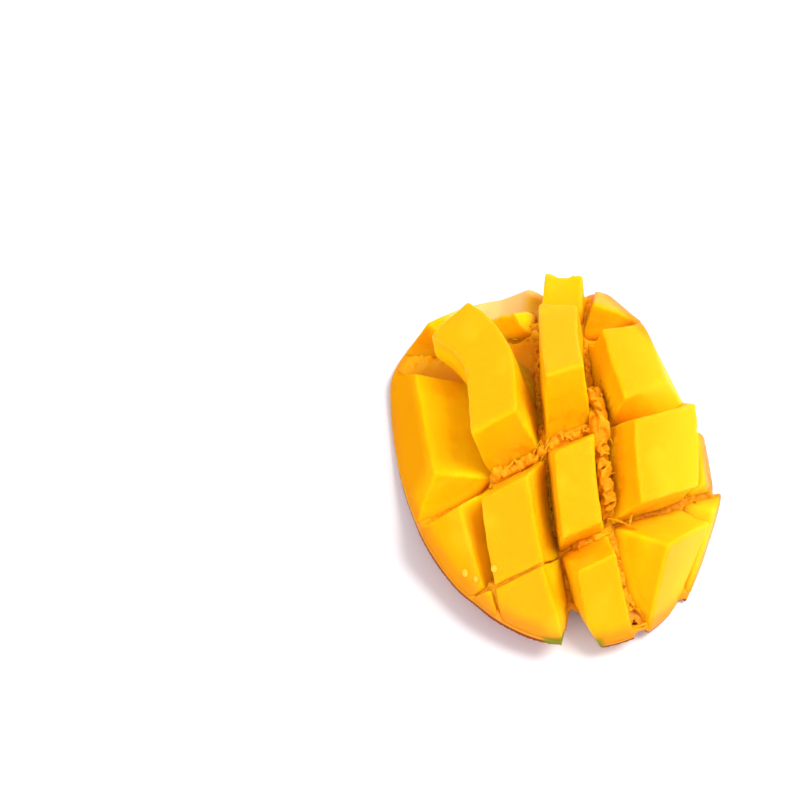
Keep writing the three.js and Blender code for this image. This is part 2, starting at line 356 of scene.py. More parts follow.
def stretchBlock(points, sides):
    depth = -points[:, 2]
    left = sides["left"](points[:, 1], depth)
    share = (points[:, 0] - left) / (slicedFlank["at"] - sides["left"](points[:, 1], 0 * depth))
    stretched = points.copy()
    stretched[:, 0] += stretchedBlock["outward"] * depth * share
    stretched[:, 1] -= stretchedBlock["nearward"] * depth * share
    return stretched


def isAt(cell, place):
    return (cell["column"], cell["row"]) == (place["column"], place["row"])


def moveBlock(cell, points):
    own = points
    if isAt(cell, bentBlock):
        own = bendBlock(own)
    if isAt(cell, stretchedBlock):
        own = stretchBlock(own, cell["sides"])
    own = carried(cell, own)
    give = 1 - smoothStep(underSkin(*points.T), fleshShape["foot"], fleshShape["rigidFrom"])
    return own * (1 - give[:, None]) + moveWithSkin(points) * give[:, None]


def rollToRest(points):
    ax, ay = (math.radians(a) for a in restRoll)
    aboutX = np.array([[1, 0, 0], [0, math.cos(ax), -math.sin(ax)], [0, math.sin(ax), math.cos(ax)]])
    aboutY = np.array([[math.cos(ay), 0, math.sin(ay)], [0, 1, 0], [-math.sin(ay), 0, math.cos(ay)]])
    return points @ (aboutY @ aboutX).T


# a closed surface where a field of values passes zero, on a regular net of points

mostDetail = 1.8         # how far the detail of a field may move its surface


def netSurface(values, low, step):
    inside = values < 0
    shape = tuple(n - 1 for n in values.shape)
    total = np.zeros(shape + (3,))
    count = np.zeros(shape)
    crossings = []
    for axis in range(3):
        b, c = (axis + 1) % 3, (axis + 2) % 3
        first = [slice(None)] * 3
        second = [slice(None)] * 3
        first[axis], second[axis] = slice(0, -1), slice(1, None)
        v0, v1 = values[tuple(first)], values[tuple(second)]
        crosses = inside[tuple(first)] != inside[tuple(second)]
        share = np.where(crosses, v0 / np.where(crosses, v0 - v1, 1), 0)
        place = np.stack(np.meshgrid(*(np.arange(n, dtype=float) for n in v0.shape), indexing="ij"), -1)
        place[..., axis] += share
        place *= crosses[..., None]
        for db in (0, 1):
            for dc in (0, 1):
                part = [slice(None)] * 3
                part[b], part[c] = slice(db, db + shape[b]), slice(dc, dc + shape[c])
                total += place[tuple(part)]
                count += crosses[tuple(part)]
        crossings.append((crosses, inside[tuple(first)]))
    used = count > 0
    number = np.full(shape, -1)
    number[used] = np.arange(used.sum())
    points = np.array(low) + step * total[used] / count[used][:, None]
    quads = []
    for axis, (crosses, startsInside) in enumerate(crossings):
        b, c = (axis + 1) % 3, (axis + 2) % 3
        at = np.argwhere(crosses)
        at = at[(at[:, b] > 0) & (at[:, c] > 0) & (at[:, b] < shape[b]) & (at[:, c] < shape[c])]
        corners = []
        for db, dc in ((1, 1), (0, 1), (0, 0), (1, 0)):
            corner = at.copy()
            corner[:, b] -= db
            corner[:, c] -= dc
            corners.append(number[tuple(corner.T)])
        quad = np.stack(corners, 1)
        flip = ~startsInside[tuple(at.T)]
        quad[flip] = quad[flip][:, ::-1]
        quads.append(quad)
    return points, np.concatenate(quads)


def fieldOnNet(field, low, high, step):
    # the detail is only worked out near the surface
    axes = [np.arange(a, b + step, step) for a, b in zip(low, high)]
    grid = np.meshgrid(*axes, indexing="ij")
    values = field(*grid, False)
    near = np.abs(values) < 3 * step + mostDetail
    values[near] = field(*(g[near] for g in grid), True)
    return values


def softMax(a, b, width):
    overlap = np.maximum(width - np.abs(a - b), 0) / width
    return np.maximum(a, b) + overlap * overlap * width / 4


# the blocks of flesh

# how far the teeth along a torn top edge reach in, by column and row
raggedBlocks = {(1, 1): 1.0, (2, 0): 0.9, (3, 2): 0.8, (3, 0): 0.6, (1, 0): 0.8}
usualRagged = 0.25

fibrous = {
    "column": 2,                      # the walls of this column cut are torn, mostly on its right
    "columnReach": (-27.0, -19.0, 8.0, 16.0),
    "row": 1,
    "rowReach": (-24.0, -12.0, 9.0, 26.0),
    "near": (0.5, 2.4),
    "rightFrom": (2.0, 10.0),         # depth
    "elsewhereFrom": (12.0, 18.0),
    "height": 0.24,
}


def between(value, reach):
    return smoothStep(value, reach[0], reach[1]) * (1 - smoothStep(value, reach[2], reach[3]))


def fibrousAt(x, y, depth):
    # how torn and stringy the flesh is here, from 0 to 1
    pastColumn = x - columnSide(fibrous["column"], y, depth)
    fromRow = np.abs(y - rowSide(fibrous["row"], x, depth))
    inColumn = (1 - smoothStep(np.abs(pastColumn), *fibrous["near"])) * between(y, fibrous["columnReach"])
    onRight, elsewhere = (smoothStep(depth, *fibrous[key]) for key in ("rightFrom", "elsewhereFrom"))
    inColumn = inColumn * np.where(pastColumn > 0, onRight, elsewhere)
    inRow = (1 - smoothStep(fromRow, *fibrous["near"])) * between(x, fibrous["rowReach"])
    return np.maximum(inColumn, inRow * elsewhere)


def blockField(cell, x, y, z, detailed):
    depth = -z
    sides = cell["sides"]
    margin, edge = fleshShape["groove"], fleshShape["edgeRound"]
    place = (cell["column"], cell["row"])
    field = z + 0.0 * x
    wave = 0.0
    ragged = 0.0
    uneven = 0.0
    if detailed:
        seed = fleshShape["seed"] + 7 * cell["column"] + 31 * cell["row"]
        broad, fine = fleshShape["waveSizes"]
        wave = (noise(x, y, z, broad, seed) + 0.4 * noise(x, y, z, fine, seed + 1)) * fleshShape["wave"]
        broad, fine = fleshShape["topSizes"]
        field = field + (noise(x, y, z, broad, seed + 2)
                         + 0.35 * noise(x, y, z, fine, seed + 3)) * fleshShape["topWave"]
        broad, fine = fleshShape["tornSizes"]
        uneven = noise(x, y, z, broad, seed + 6) + 0.5 * noise(x, y, z, fine, seed + 7)
        if place == fleshShape["tornTop"]:
            field = field + fleshShape["tornHeight"] * uneven
        teeth = np.maximum(noise(x, y, z, fleshShape["raggedSize"], seed + 4), 0)
        ragged = raggedBlocks.get(place, usualRagged) * teeth * np.exp(-depth / fleshShape["raggedDepth"])
        broad, fine = fleshShape["stringSizes"]
        strings = noise(x, y, z, broad, seed + 8) + 0.5 * noise(x, y, z, fine, seed + 9)
        wave = wave + strings * fibrous["height"] * fibrousAt(x, y, depth)
    closedRow, closedColumn, closedWidth = fleshShape["closedCut"]
    for side, value, across in (("left", x, y), ("right", x, y), ("near", y, x), ("far", y, x)):
        place = sides[side](across, depth)
        if side == "far" and isAt(cell, slantedBlock):
            place = np.minimum(place, slantedBlock["at"] + slantedBlock["slope"] * x)
        gap = place - value if side in ("left", "near") else value - place
        lean = fleshShape["rowLean"] if side in ("near", "far") else fleshShape["columnLean"]
        halfWide, rounded = margin, edge
        atClosed = (side, cell["row"]) in (("near", closedRow), ("far", closedRow + 1))
        if atClosed and cell["column"] <= closedColumn:
            halfWide, rounded = closedWidth, edge / 2
        field = softMax(field, gap / lean + halfWide + wave + ragged, rounded)
    if isAt(cell, lowBlock):
        field = softMax(field, z + lowBlock["depth"] + lowBlock["uneven"] * uneven, edge)
    field = softMax(field, fleshShape["foot"] - underSkin(x, y, z), fleshShape["footRound"])
    return softMax(field, -missingField(x, y, z) + 0.5 * wave, edge)


searched = {
    "low": (-45.0, -62.0, -30.0),
    "high": (42.0, 60.0, 1.5),
    "step": 2.0,
    "near": 1.5,
    "margin": 2.5,
}


def roughBox(field):
    low, step, margin = np.array(searched["low"]), searched["step"], searched["margin"]
    axes = [np.arange(a, b, step) for a, b in zip(low, searched["high"])]
    grid = np.meshgrid(*axes, indexing="ij")
    at = np.argwhere(field(*grid, False) < searched["near"])
    return low + at.min(0) * step - margin, low + at.max(0) * step + margin


def flatNormals(points, quads):
    a, b, c, d = (points[quads[:, i]] for i in range(4))
    normals = np.zeros_like(points)
    for i in range(4):
        np.add.at(normals, quads[:, i], np.cross(c - a, d - b))
    return normals / np.maximum(np.linalg.norm(normals, axis=1), 1e-9)[:, None]


def makePiece(name, flat, quads, moved):
    mesh = bpy.data.meshes.new(name)
    mesh.from_pydata((moved / 1000).tolist(), [], quads.tolist())
    mesh.polygons.foreach_set("use_smooth", [True] * len(mesh.polygons))
    normals = flatNormals(flat, quads)
    x, y, depth = flat[:, 0], flat[:, 1], -flat[:, 2]
    facts = {"flatX": x, "flatY": y, "depth": depth, "underSkin": underSkin(*flat.T),
             "facing": normals[:, 2], "sideways": np.abs(normals[:, 0]), "fibrous": fibrousAt(x, y, depth)}
    for key, values in facts.items():
        mesh.attributes.new(key, "FLOAT", "POINT").data.foreach_set("value", values.astype(np.float32))
    mesh.update()
    piece = bpy.data.objects.new(name, mesh)
    bpy.context.collection.objects.link(piece)
    return piece


def joined(parts):
    flats, quads, moves, start = [], [], [], 0
    for flat, quad, moved in parts:
        flats.append(flat)
        quads.append(quad + start)
        moves.append(moved)
        start += len(flat)
    return np.concatenate(flats), np.concatenate(quads), np.concatenate(moves)


def fleshParts():
    columns = {}
    for cell in cells:
        def field(x, y, z, detailed, cell=cell):
            return blockField(cell, x, y, z, detailed)
        low, high = roughBox(field)
        flat, quads = netSurface(fieldOnNet(field, low, high, fleshShape["step"]), low, fleshShape["step"])
        columns.setdefault(cell["column"], []).append((flat, quads, rollToRest(moveBlock(cell, flat))))
    return {column: joined(parts) for column, parts in columns.items()}


# the skin with its web of flesh

skinShape = {
    "step": 0.6,
    "pulp": 0.9,         # how uneven the torn web is beside the cuts
    "pulpSize": 1.5,
    "pulpReach": (1.0, 4.0),
    "wave": 0.12,
    "waveSize": 8.0,
    "edgeRound": 0.4,
    "seed": 83,
}


def nearestCut(x, y, depth):
    nearest = np.full_like(x, 99.0)
    for number in range(lastColumn):
        nearest = np.minimum(nearest, np.abs(x - columnSide(number, y, depth)))
    inOwnColumn = ((x > columnSide(ownCut["column"] - 1, y, depth))
                   & (x < columnSide(ownCut["column"], y, depth)))
    for number in range(lastRow):
        ownPlace = rowSide(number, x, depth, ownCut["column"])
        place = np.where(inOwnColumn, ownPlace, rowSide(number, x, depth))
        nearest = np.minimum(nearest, np.abs(y - place) / fleshShape["rowLean"])
    return nearest


def skinField(x, y, z, detailed):
    under = underSkin(x, y, z)
    web = cheek["skinWeb"]
    if detailed:
        size, seed = skinShape["pulpSize"], skinShape["seed"]
        pulp = noise(x, y, z, size, seed)
        pulp = pulp + 0.6 * noise(x, y, z, size * 0.45, seed + 1)
        besideCut = 1 - smoothStep(nearestCut(x, y, -z), *skinShape["pulpReach"])
        web = web + skinShape["pulp"] * pulp * besideCut
        under = under + skinShape["wave"] * noise(x, y, z, skinShape["waveSize"], seed + 2)
    field = np.maximum(-under, under - web)
    field = softMax(field, z + cheek["skinLip"], skinShape["edgeRound"])
    return softMax(field, -missingField(x, y, z), skinShape["edgeRound"])


def skinParts():
    low, high = roughBox(skinField)
    flat, quads = netSurface(fieldOnNet(skinField, low, high, skinShape["step"]), low, skinShape["step"])
    return flat, quads, rollToRest(moveWithSkin(flat))


# torn pulp that stands in the open cuts

pulpShape = {
    "step": 0.36,
    "mounds": [          # kind of cut, number, reach along it, height, half width
        ("column", 2, (-27.0, -20.0, 9.0, 17.0), 10.5, 2.9),
        ("column", 2, (12.0, 16.0, 26.0, 32.0), 4.0, 2.0),
        ("row", 1, (-24.0, -16.0, 9.0, 12.0), 5.0, 2.6),
        ("row", 1, (9.0, 12.0, 24.0, 28.0), 4.5, 2.4),
        ("row", 2, (-27.0, -24.0, -5.0, -3.5), 26.0, 1.0),
        ("column", 0, (-50.0, -46.0, -37.5, -36.0), 9.0, 1.0),
        ("row", 2, (2.0, 4.0, 12.0, 14.0), 4.0, 1.6),
        ("column", 2, (-52.0, -48.0, -27.0, -22.0), 2.2, 2.2),
        ("column", 1, (-30.0, -26.0, 30.0, 36.0), 3.5, 1.6),
    ],
    "flatTop": 0.8,      # how far from the cut a mound has its full height
    "sunk": 1.0,         # how far below the web's top the mounds start
    "thinnest": 1.0,
    "cover": 1.8,        # the pulp ends this far under the sliced face
    "uneven": 0.34,
    "strandSizes": ((1.3, 5.0, 2.2), (0.9, 3.2, 1.4)),
    "strandSlants": (0.6, -0.5),
    "crumbs": 0.75,
    "crumbSizes": (1.0, 0.6),
    "edgeRound": 0.4,
    "seed": 97,
}


def moundAt(x, y, depth):
    # how high the pulp stands above the web
    high = 0.0 * x
    for kind, number, reach, height, halfWidth in pulpShape["mounds"]:
        if kind == "column":
            off, alongCut = x - columnSide(number, y, depth), y
        else:
            off, alongCut = y - rowSide(number, x, depth), x
        profile = 1 - smoothStep(np.abs(off), pulpShape["flatTop"], halfWidth)
        high = np.maximum(high, height * between(alongCut, reach) * profile)
    return high


def pulpField(x, y, z, detailed):
    under = underSkin(x, y, z)
    mound = moundAt(x, y, -z)
    top = cheek["skinWeb"] - pulpShape["sunk"] + mound
    if detailed:
        seed = pulpShape["seed"]
        broad, fine = pulpShape["strandSizes"]
        oneWay, otherWay = pulpShape["strandSlants"]
        strands = noise(x + oneWay * y, y, z, broad, seed)
        strands = strands + 0.7 * noise(x + otherWay * y, y, z, fine, seed + 1)
        broad, fine = pulpShape["crumbSizes"]
        crumbs = noise(x, y, z, broad, seed + 2) + 0.6 * noise(x, y, z, fine, seed + 3)
        top = top + mound * pulpShape["uneven"] * strands + crumbs * pulpShape["crumbs"]
    bottom = cheek["skinWeb"] - pulpShape["sunk"] - 0.1
    field = np.maximum(under - top, bottom - under)
    field = np.maximum(field, pulpShape["thinnest"] - mound)
    field = np.maximum(field, z + pulpShape["cover"])
    return softMax(field, 0.4 - missingField(x, y, z), pulpShape["edgeRound"])


def pulpParts():
    low, high = roughBox(pulpField)
    flat, quads = netSurface(fieldOnNet(pulpField, low, high, pulpShape["step"]), low, pulpShape["step"])
    return flat, quads, rollToRest(moveWithSkin(flat))


# drops of juice

dropShape = {
    "places": [          # column, row, x, y, radius
        (0, 2, -22.7, -33.2, 1.0),
        (0, 2, -19.6, -35.2, 0.8),
        (1, 2, -16.9, -32.9, 0.9),
    ],
    "flatness": 0.42,    # height over radius
    "drawnOut": 1.2,     # along the fruit
    "sunk": 0.3,
    "rings": 10,
    "sides": 24,
}


def dropPoints(x, y, radius):
    # rings of a low dome, then its peak and a point in the flesh below
    angles = np.arange(dropShape["sides"]) * 2 * math.pi / dropShape["sides"]
    dome = []
    for i in range(dropShape["rings"]):
        lift = i / dropShape["rings"] * math.pi / 2
        wide, high = radius * math.cos(lift), radius * dropShape["flatness"] * math.sin(lift)
        ringY = y + dropShape["drawnOut"] * wide * np.sin(angles)
        dome.append(np.stack([x + wide * np.cos(angles), ringY, 0 * angles + high], 1))
    dome.append(np.array([[x, y, radius * dropShape["flatness"]], [x, y, -dropShape["sunk"]]]))
    return np.concatenate(dome)


def dropFaces(start):
    rings, sides = dropShape["rings"], dropShape["sides"]
    peak, bottom = start + rings * sides, start + rings * sides + 1
    faces = []
    for j in range(sides):
        k = (j + 1) % sides
        for i in range(rings - 1):
            a, b = start + i * sides, start + (i + 1) * sides
            faces.append((a + j, a + k, b + k, b + j))
        last = start + (rings - 1) * sides
        faces.append((last + j, last + k, peak))
        faces.append((start + k, start + j, bottom))
    return faces


def plainPiece(name, points, faces):
    mesh = bpy.data.meshes.new(name)
    mesh.from_pydata((points / 1000).tolist(), [], faces)
    mesh.polygons.foreach_set("use_smooth", [True] * len(mesh.polygons))
    piece = bpy.data.objects.new(name, mesh)
    bpy.context.collection.objects.link(piece)
    return piece


def makeDrops(settle):
    points, faces, start = [], [], 0
    for column, row, x, y, radius in dropShape["places"]:
        flat = dropPoints(x, y, radius)
        points.append(settle(rollToRest(moveBlock(cellAt(column, row), flat))))
        faces += dropFaces(start)
        start += len(flat)
    return plainPiece("juice_drops", np.concatenate(points), faces)


# strings of flesh that were torn, in the cuts

fibreShape = {
    "radius": (0.26, 0.50),
    "sides": 7,
    "steps": 14,
    "wander": 0.20,
    "acrossShare": 0.22, # of the strings, from wall to wall
    "aboveSkin": 1.2,    # a string ends no nearer to the skin's outside
    "fromEdges": 0.3,
    "underFace": 0.6,
    "endShare": 0.25,    # thickness at an end over that in the middle
    "seed": 5,
    "grooves": [   # kind of cut, number, from, to, how many, how far they spread, how high, how thick
        ("column", 2, -25.0, 14.0, 70, 2.4, 10.5, 1.0),
        ("column", 2, 10.0, 30.0, 14, 1.8, 4.0, 0.8),
        ("row", 1, -17.0, 10.0, 30, 1.6, 5.0, 0.8),
        ("row", 0, -22.0, 6.0, 10, 1.8, 2.4, 0.7),
    ],
}


def fibrePath(rng, kind, number, start, end, spread, high):
    steps = fibreShape["steps"]
    along = rng.uniform(start, end)
    share = np.linspace(0, 1, steps)
    wander = np.cumsum(np.cumsum(rng.normal(0, fibreShape["wander"], steps)) * 0.35)
    if rng.random() < fibreShape["acrossShare"]:  # across the cut
        side = rng.uniform(0.7, 1.0, 2) * spread * 1.3
        across = -side[0] + share * side.sum()
        along = along + share * rng.uniform(-4, 4) + 0.5 * wander
        height = rng.uniform(1.8, 2.2 + high) - rng.uniform(0.2, 1.0) * np.sin(share * math.pi)
    else:                                         # along the cut
        across = rng.uniform(-0.6, 0.6) * spread + share * rng.uniform(-1, 1) + 0.6 * wander
        along = along + share * rng.choice((-1, 1)) * rng.uniform(2, 5)
        height = rng.uniform(1.7, 1.9 + high) + rng.uniform(0.0, 0.9) * np.sin(share * math.pi)
    if kind == "column":
        y = along
        x = columnSide(number, y, 0 * y) + across
        x = columnSide(number, y, skinDepth(x, y)) + across
    else:
        x = along
        y = rowSide(number, x, 0 * x) + across
        y = rowSide(number, x, skinDepth(x, y)) + across
    return np.stack([x, y, np.minimum(height - skinDepth(x, y), -fibreShape["underFace"])], 1)


def tube(path, radius):
    # a closed string along a path, thin at both ends
    steps, sides = len(path), fibreShape["sides"]
    ahead = np.gradient(path, axis=0)
    ahead /= np.maximum(np.linalg.norm(ahead, axis=1), 1e-9)[:, None]
    first = np.cross(ahead, np.array([0.31, 0.52, 0.79]))
    first /= np.maximum(np.linalg.norm(first, axis=1), 1e-9)[:, None]
    second = np.cross(ahead, first)
    share = np.linspace(0, 1, steps)
    lumps = 1 + 0.28 * np.sin(share * 17 + path[0, 0]) + 0.16 * np.sin(share * 41 + path[0, 1])
    thin = fibreShape["endShare"]
    thick = radius * lumps * (thin + (1 - thin) * np.sin(share * math.pi) ** 0.6)
    angles = np.arange(sides) * 2 * math.pi / sides
    ring = first[:, None] * np.cos(angles)[None, :, None] + second[:, None] * np.sin(angles)[None, :, None]
    points = (path[:, None] + ring * thick[:, None, None]).reshape(-1, 3)
    faces = []
    for i in range(steps - 1):
        for j in range(sides):
            k = (j + 1) % sides
            faces.append((i * sides + j, i * sides + k, (i + 1) * sides + k, (i + 1) * sides + j))
    faces.append(tuple(range(sides - 1, -1, -1)))
    faces.append(tuple((steps - 1) * sides + j for j in range(sides)))
    return points, faces


def makeFibres(settle):
    rng = np.random.default_rng(fibreShape["seed"])
    points, faces, start = [], [], 0
    for kind, number, low, high, count, spread, height, thick in fibreShape["grooves"]:
        for _ in range(count):
            path = fibrePath(rng, kind, number, low, high, spread, height)
            inside = underSkin(*path.T) > fibreShape["aboveSkin"]
            inside &= missingField(*path.T) > fibreShape["fromEdges"]
            moved = settle(rollToRest(moveWithSkin(path)))
            radius = rng.uniform(*fibreShape["radius"]) * thick
            if not inside.all():
                continue
            ring, quads = tube(moved, radius)
            points.append(ring)
            faces += [tuple(v + start for v in face) for face in quads]
            start += len(ring)
    return plainPiece("fibres", np.concatenate(points), faces)


# materials

fleshLook = {
    # painted light: top, side and inner are one flesh, painted darker on the tops that the lamps light most
    # and lighter on the sides and on the walls deep in the cuts, which get less light
    "top": (0.82, 0.405, 0.002),
    "side": (0.98, 0.48, 0.002),
    "inner": (1.0, 0.63, 0.003),
    "pale": (0.86, 0.52, 0.012),
    "lemon": (0.88, 0.60, 0.015),
    "rich": (0.90, 0.40, 0.002),
    "strip": (0.80, 0.29, 0.002),
    "nearSkin": (0.86, 0.32, 0.004),
    # deep: a dark brown, painted as shade at the feet of the blocks deep in the cuts; the torn pulp also
    # takes it for its darkest lumps
    "deep": (0.50, 0.13, 0.002),
    "string": (0.66, 0.27, 0.006),
    "pulp": (0.80, 0.37, 0.009),
    "gold": (0.94, 0.48, 0.006),
    "facet": (0.98, 0.44, 0.002),
    "farPale": (0.92, 0.60, 0.20),
    "tip": (0.20, 0.21, 0.010),
    "rimBrown": (0.42, 0.12, 0.025),
    "rimOrange": (0.84, 0.25, 0.014),
    "roughness": 0.40,
    "specular": 0.09,
    "specularTint": (1.0, 0.86, 0.45),
    "subsurface": 0.60,
    "radius": (1.0, 0.50, 0.05),
    "subsurfaceScale": 0.006,
    "pulpSubsurface": 0.50,
    "pulpSubsurfaceScale": 0.002,
    "bump": 0.10,
}

skinLook = {
    "red": (0.40, 0.028, 0.014),
    "orange": (0.58, 0.16, 0.02),
    "green": (0.20, 0.20, 0.030),
    "speck": (0.70, 0.52, 0.22),
    "cutEdge": (0.24, 0.055, 0.010),
    "thickness": 0.75,   # millimetres
    "roughness": 0.30,
}


def newMaterial(name):
    material = bpy.data.materials.new(name)
    material.use_nodes = True
    tree = material.node_tree
    tree.nodes.clear()
    shader = tree.nodes.new("ShaderNodeBsdfPrincipled")
    output = tree.nodes.new("ShaderNodeOutputMaterial")
    tree.links.new(shader.outputs["BSDF"], output.inputs["Surface"])
    return material, tree, shader


def attributeNode(tree, name):
    node = tree.nodes.new("ShaderNodeAttribute")
    node.attribute_name = name
    return node.outputs["Fac"]


def noiseNode(tree, place, scale, detail=3.0, roughness=0.55):
    node = tree.nodes.new("ShaderNodeTexNoise")
    node.inputs["Scale"].default_value = scale
    node.inputs["Detail"].default_value = detail
    node.inputs["Roughness"].default_value = roughness
    tree.links.new(place, node.inputs["Vector"])
    return node.outputs["Fac"]


def rangeNode(tree, value, fromLow, fromHigh, toLow=0.0, toHigh=1.0):
    node = tree.nodes.new("ShaderNodeMapRange")
    node.interpolation_type = "SMOOTHSTEP"
    limits = {"From Min": fromLow, "From Max": fromHigh, "To Min": toLow, "To Max": toHigh}
    for key, number in limits.items():
        node.inputs[key].default_value = number
    tree.links.new(value, node.inputs["Value"])
    return node.outputs["Result"]


def mathNode(tree, kind, a, b):
    node = tree.nodes.new("ShaderNodeMath")
    node.operation = kind
    for socket, value in zip(node.inputs, (a, b)):
        if isinstance(value, (int, float)):
            socket.default_value = value
        else:
            tree.links.new(value, socket)
    return node.outputs["Value"]


def product(tree, a, b):
    return mathNode(tree, "MULTIPLY", a, b)


def mixNode(tree, share, a, b):
    node = tree.nodes.new("ShaderNodeMix")
    node.data_type = "RGBA"
    sockets = [node.inputs[0], node.inputs[6], node.inputs[7]]
    for socket, value in zip(sockets, (share, a, b)):
        if isinstance(value, (int, float)):
            socket.default_value = value
        elif isinstance(value, tuple):
            socket.default_value = (*value, 1.0)
        else:
            tree.links.new(value, socket)
    return node.outputs[2]


def flatPlace(tree, along):
    # place in the flat cheek in millimetres, drawn out along the fruit
    node = tree.nodes.new("ShaderNodeCombineXYZ")
    tree.links.new(attributeNode(tree, "flatX"), node.inputs[0])
    tree.links.new(product(tree, attributeNode(tree, "flatY"), along), node.inputs[1])
    tree.links.new(attributeNode(tree, "depth"), node.inputs[2])
    return node.outputs[0]


def fleshColour(tree, place):
    look = fleshLook
    facing = attributeNode(tree, "facing")
    under = attributeNode(tree, "underSkin")
    depth = attributeNode(tree, "depth")
    flatX = attributeNode(tree, "flatX")
    flatY = attributeNode(tree, "flatY")
    torn = attributeNode(tree, "fibrous")
    patches = noiseNode(tree, place, 60.0, 2.0)
    mottle = noiseNode(tree, place, 330.0, 4.0, 0.6)
    grain = noiseNode(tree, flatPlace(tree, 0.12), 0.9, 3.0)
    strings = noiseNode(tree, flatPlace(tree, 0.6), 1.5, 4.0, 0.7)
    # painted light: walls facing sideways deep in the cuts take the lighter inner colour, other sides the
    # side colour, and upturned faces the darker top colour
    paintedWallLight = product(tree, rangeNode(tree, attributeNode(tree, "sideways"), 0.4, 0.8),
                         rangeNode(tree, depth, 2.0, 9.0))
    inner = mixNode(tree, paintedWallLight, look["side"], look["inner"])
    colour = mixNode(tree, rangeNode(tree, facing, 0.2, 0.9), inner, look["top"])
    colour = mixNode(tree, rangeNode(tree, patches, 0.50, 0.72, 0.0, 0.55), colour, look["pale"])
    colour = mixNode(tree, rangeNode(tree, patches, 0.50, 0.30, 0.0, 0.5), colour, look["rich"])
    colour = mixNode(tree, rangeNode(tree, mottle, 0.5, 0.7, 0.0, 0.18), colour, look["pale"])
    colour = mixNode(tree, rangeNode(tree, grain, 0.52, 0.66, 0.0, 0.16), colour, look["rich"])
    colour = mixNode(tree, rangeNode(tree, flatX, 8.0, 34.0, 0.0, 0.65), colour, look["lemon"])
    strip = product(tree, rangeNode(tree, flatX, -21.0, -27.0, 0.0, 0.9), rangeNode(tree, flatY, -14.0, -6.0))
    colour = mixNode(tree, strip, colour, look["strip"])
    uneven = product(tree, mathNode(tree, "SUBTRACT", patches, 0.5), 5.0)
    ragged = mathNode(tree, "ADD", under, uneven)
    colour = mixNode(tree, rangeNode(tree, ragged, 6.0, 2.0, 0.0, 0.8), colour, look["nearSkin"])
    rimShare = product(tree, rangeNode(tree, ragged, 7.5, 1.0, 0.0, 0.8), rangeNode(tree, facing, 0.5, 0.9))
    colour = mixNode(tree, rimShare, colour, look["rimOrange"])
    # painted shade: near the skin and deep in the cuts the feet of the blocks are darkened towards brown
    foot = product(tree, rangeNode(tree, under, 4.2, 1.8), rangeNode(tree, depth, 5.0, 13.0))
    colour = mixNode(tree, product(tree, foot, 0.4), colour, look["deep"])
    tornShare = product(tree, torn, rangeNode(tree, strings, 0.40, 0.62, 0.0, 0.3))
    colour = mixNode(tree, tornShare, colour, look["string"])
    far = product(tree, rangeNode(tree, flatY, 38.0, 48.0, 0.0, 0.85), rangeNode(tree, flatX, -1.0, -5.0))
    colour = mixNode(tree, far, colour, look["farPale"])
    brownShare = product(tree, rangeNode(tree, ragged, 3.4, 0.4, 0.0, 0.8),
                         rangeNode(tree, flatX, 28.0, 32.0))
    colour = mixNode(tree, brownShare, colour, look["rimBrown"])
    return mixNode(tree, tipShare(tree, patches), colour, look["tip"])


def tipShare(tree, patches):
    # the green ends beside the notch
    flatX, flatY = attributeNode(tree, "flatX"), attributeNode(tree, "flatY")
    uneven = product(tree, mathNode(tree, "SUBTRACT", patches, 0.5), 9.0)
    along = rangeNode(tree, mathNode(tree, "ADD", flatY, uneven), -49.5, -52.5, 0.0, 0.95)
    pastLeft, pastRight = rangeNode(tree, flatX, -5.5, -2.5), rangeNode(tree, flatX, 8.5, 5.5)
    across = product(tree, pastLeft, pastRight)
    return product(tree, along, across)


def wetBump(tree, shader, place, strength):
    fine = noiseNode(tree, place, 900.0, 4.0, 0.6)
    broad = noiseNode(tree, place, 190.0, 2.0)
    bump = tree.nodes.new("ShaderNodeBump")
    bump.inputs["Strength"].default_value = strength
    bump.inputs["Distance"].default_value = 0.0006
    height = mathNode(tree, "ADD", product(tree, fine, 0.5), broad)
    tree.links.new(height, bump.inputs["Height"])
    tree.links.new(bump.outputs["Normal"], shader.inputs["Normal"])


def makeMoist(shader, subsurface, scale):
    values = {
        "Roughness": fleshLook["roughness"],
        "Specular IOR Level": fleshLook["specular"],
        "Specular Tint": (*fleshLook["specularTint"], 1.0),
        "Subsurface Weight": subsurface,
        "Subsurface Radius": fleshLook["radius"],
        "Subsurface Scale": scale,
    }
    for key, value in values.items():
        shader.inputs[key].default_value = value


def fleshMaterial():
    material, tree, shader = newMaterial("moistMangoFlesh")
    place = tree.nodes.new("ShaderNodeTexCoord").outputs["Object"]
    tree.links.new(fleshColour(tree, place), shader.inputs["Base Color"])
    makeMoist(shader, fleshLook["subsurface"], fleshLook["subsurfaceScale"])
    wet = rangeNode(tree, attributeNode(tree, "flatX"), -22.5, -20.0, 0.0, fleshLook["specular"])
    tree.links.new(wet, shader.inputs["Specular IOR Level"])         # the outer strip has dried
    wetBump(tree, shader, place, fleshLook["bump"])
    return material


